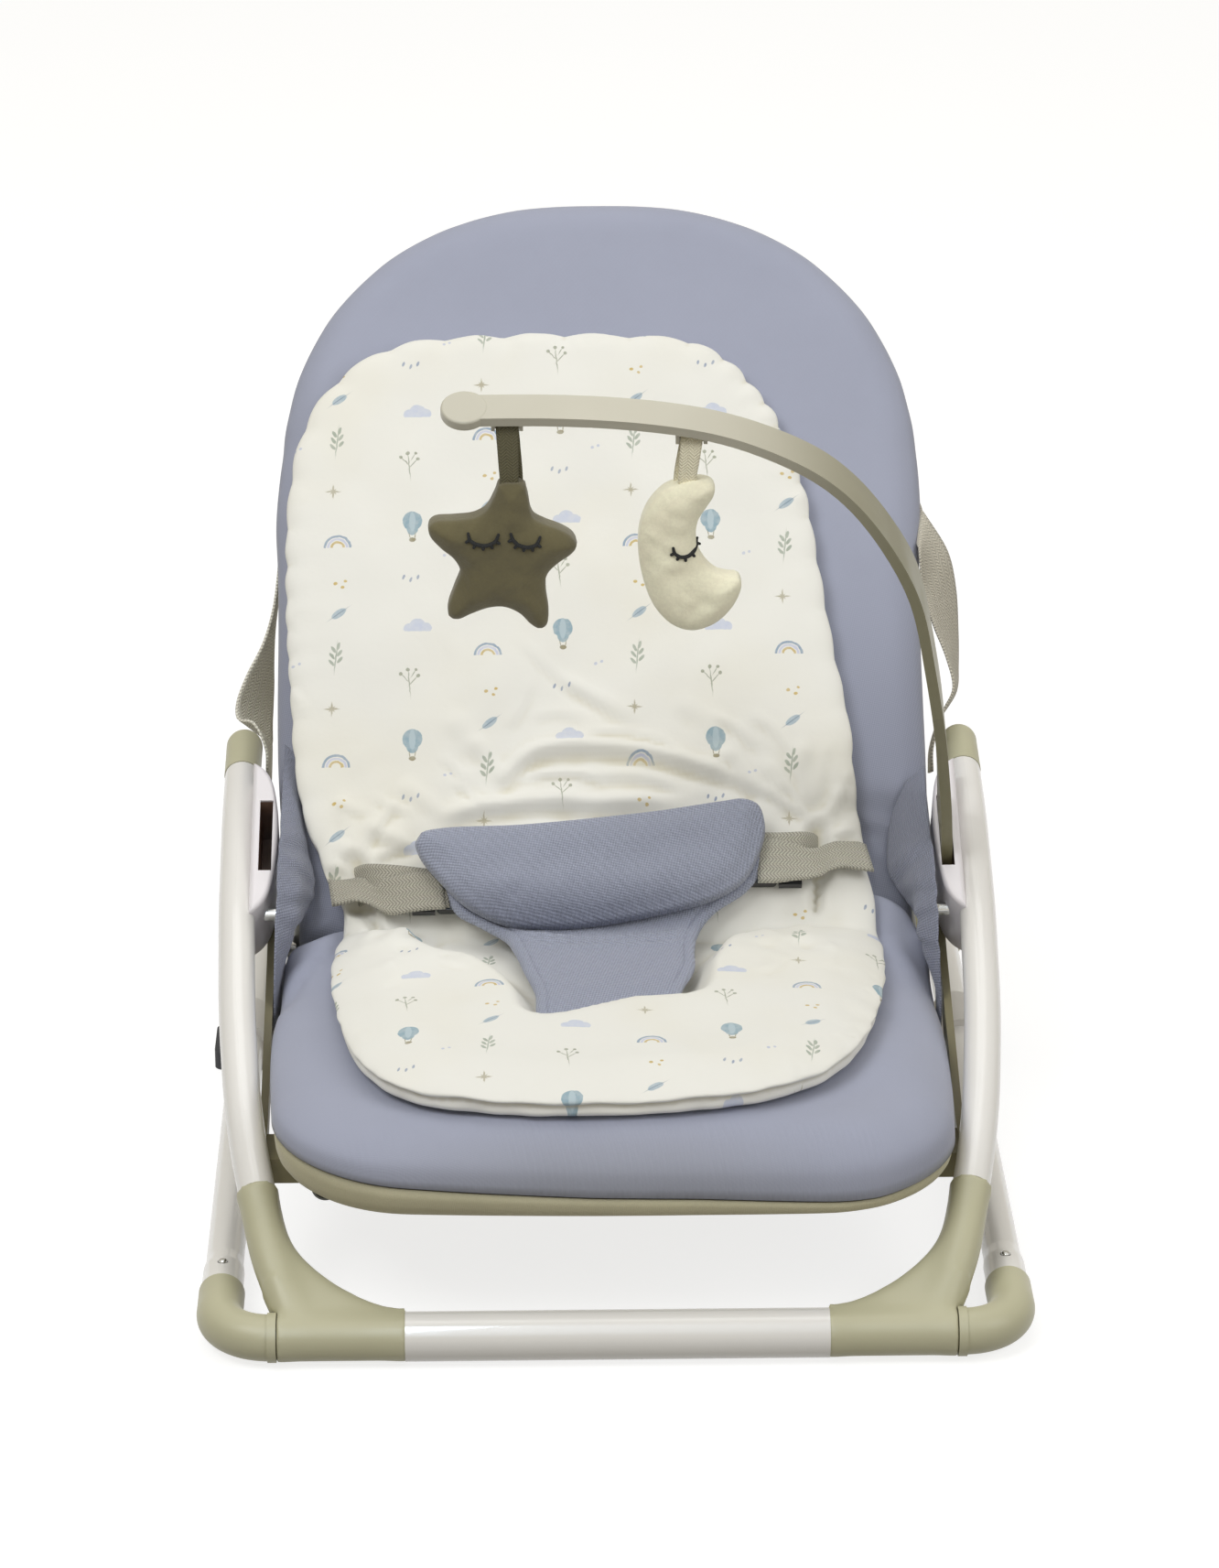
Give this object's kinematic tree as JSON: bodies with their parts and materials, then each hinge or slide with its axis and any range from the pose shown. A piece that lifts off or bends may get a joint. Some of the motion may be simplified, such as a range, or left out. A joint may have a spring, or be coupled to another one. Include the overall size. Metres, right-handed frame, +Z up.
{
  "type": "bouncer seat",
  "caption": "Baby bouncer seat: tube floor frame, springing side tubes with hubs, reclining padded backrest, padded seat, lap harness and a curved arm with two hanging toys.",
  "frame": {"origin": "centre of the whole object's box, on the floor plane under its feet", "axes": "+Z up, +Y from the front floor bar to the head end of the backrest, +X to the right as seen from the front; the toy arm stands on the +X side"},
  "size_m": [0.498, 0.7075, 0.5228],
  "materials": {
    "sage_plastic": "fine satin moulding grain",
    "white_tube": "gloss powder coat",
    "dark_rubber": "matt",
    "bright_steel": "satin",
    "hub_white": "semi-gloss moulding",
    "frame_grey": "satin powder coat",
    "blue_fabric": "fine jersey laminated to foam",
    "blue_knit": "fine rib knit",
    "sage_fabric": "plain weave",
    "cream_print_fabric": null,
    "webbing": "ribbed webbing",
    "black_plastic": "semi-gloss",
    "arm_plastic": "satin",
    "star_plush": "short velour",
    "moon_plush": "short velour"
  },
  "bodies": {
    "base": {"floor_elbow_left": "sage_plastic", "floor_elbow_right": "sage_plastic", "floor_rail_left": "white_tube", "floor_rail_right": "white_tube", "rear_elbow_left": "sage_plastic", "rear_elbow_right": "sage_plastic", "rear_cross_tube": "white_tube", "rubber_foot_left": "dark_rubber", "rubber_foot_right": "dark_rubber", "front_foot_pads": "dark_rubber", "rear_foot_pads": "dark_rubber", "rail_snap_buttons": "bright_steel"},
    "cradle": {"front_bar": "white_tube", "corner_fitting_left": "sage_plastic", "corner_fitting_right": "sage_plastic", "side_tube_left": "white_tube", "side_tube_right": "white_tube", "tube_end_cap_left": "sage_plastic", "tube_end_cap_right": "sage_plastic", "hub_housing_left": "hub_white", "hub_housing_right": "hub_white", "recline_pins": "bright_steel", "seat_side_arm_left": "sage_plastic", "seat_side_arm_right": "sage_plastic", "seat_frame_tube_left": "frame_grey", "seat_frame_tube_right": "frame_grey", "seat_frame_cross_front": "frame_grey", "seat_frame_cross_rear": "frame_grey", "seat_underside": "sage_fabric", "seat_cushion": "blue_fabric", "insert_pad_seat": "cream_print_fabric", "crotch_pad": "blue_knit", "belly_pad": "blue_fabric", "buckle_socket_left": "black_plastic", "buckle_socket_right": "black_plastic", "waist_strap_left": "webbing", "waist_strap_right": "webbing", "button_spring_left": "bright_steel", "button_spring_right": "bright_steel"},
    "backrest": {"backrest_cushion": "blue_fabric", "backrest_rear_cover": "sage_fabric", "backrest_tube_left": "frame_grey", "backrest_tube_right": "frame_grey", "backrest_bow": "frame_grey", "backrest_cross_tube": "frame_grey", "backrest_lug_left": "bright_steel", "backrest_lug_right": "bright_steel", "insert_pad_back": "cream_print_fabric", "carry_strap_left": "webbing", "carry_strap_right": "webbing"},
    "toy_arm": {"toy_arm": "arm_plastic", "toy_hooks": "arm_plastic"},
    "star": {"star_strap": "star_plush", "star_toy": "star_plush"},
    "moon": {"moon_strap": "moon_plush", "moon_toy": "moon_plush"},
    "recline_button_left": {"recline_button_left": "sage_plastic"},
    "recline_button_right": {"recline_button_right": "sage_plastic"},
    "buckle_tongue_left": {"buckle_tongue_left": "black_plastic"},
    "buckle_tongue_right": {"buckle_tongue_right": "black_plastic"}
  },
  "joints": [
    {"name": "bounce", "type": "hinge", "parent": "base", "child": "cradle", "pos_m": [0, -0.3393, 0.0155], "axis": [1, 0, 0], "range_deg": [-5, 3], "stiffness_Nm_per_rad": 450, "springref_deg": 1.38},
    {"name": "recline", "type": "hinge", "parent": "cradle", "child": "backrest", "pos_m": [0, -0.0543, 0.155], "axis": [1, 0, 0], "range_deg": [-20, 2], "deforming": ["carry_strap_left", "carry_strap_right"]},
    {"name": "toy_arm_pull", "type": "slide", "parent": "cradle", "child": "toy_arm", "axis": [0, -0.4226, 0.9063], "range_m": [0, 0.04]},
    {"name": "star_swing", "type": "hinge", "parent": "toy_arm", "child": "star", "pos_m": [-0.059, -0.1726, 0.50546], "axis": [1, 0, 0], "range_deg": [-25, 25]},
    {"name": "moon_swing", "type": "hinge", "parent": "toy_arm", "child": "moon", "pos_m": [0.0455, -0.16793, 0.49545], "axis": [1, 0, 0], "range_deg": [-25, 25]},
    {"name": "left_button_press", "type": "slide", "parent": "cradle", "child": "recline_button_left", "axis": [0, -0.4226, 0.9063], "range_m": [0, 0.004], "stiffness_N_per_m": 600, "springref_m": -0.002, "deforming": ["button_spring_left"]},
    {"name": "right_button_press", "type": "slide", "parent": "cradle", "child": "recline_button_right", "axis": [0, -0.4226, 0.9063], "range_m": [0, 0.004], "stiffness_N_per_m": 600, "springref_m": -0.002, "deforming": ["button_spring_right"]},
    {"name": "left_buckle_release", "type": "slide", "parent": "cradle", "child": "buckle_tongue_left", "axis": [-1, 0, 0], "range_m": [0, 0.02], "deforming": ["waist_strap_left"]},
    {"name": "right_buckle_release", "type": "slide", "parent": "cradle", "child": "buckle_tongue_right", "axis": [1, 0, 0], "range_m": [0, 0.02], "deforming": ["waist_strap_right"]}
  ]
}
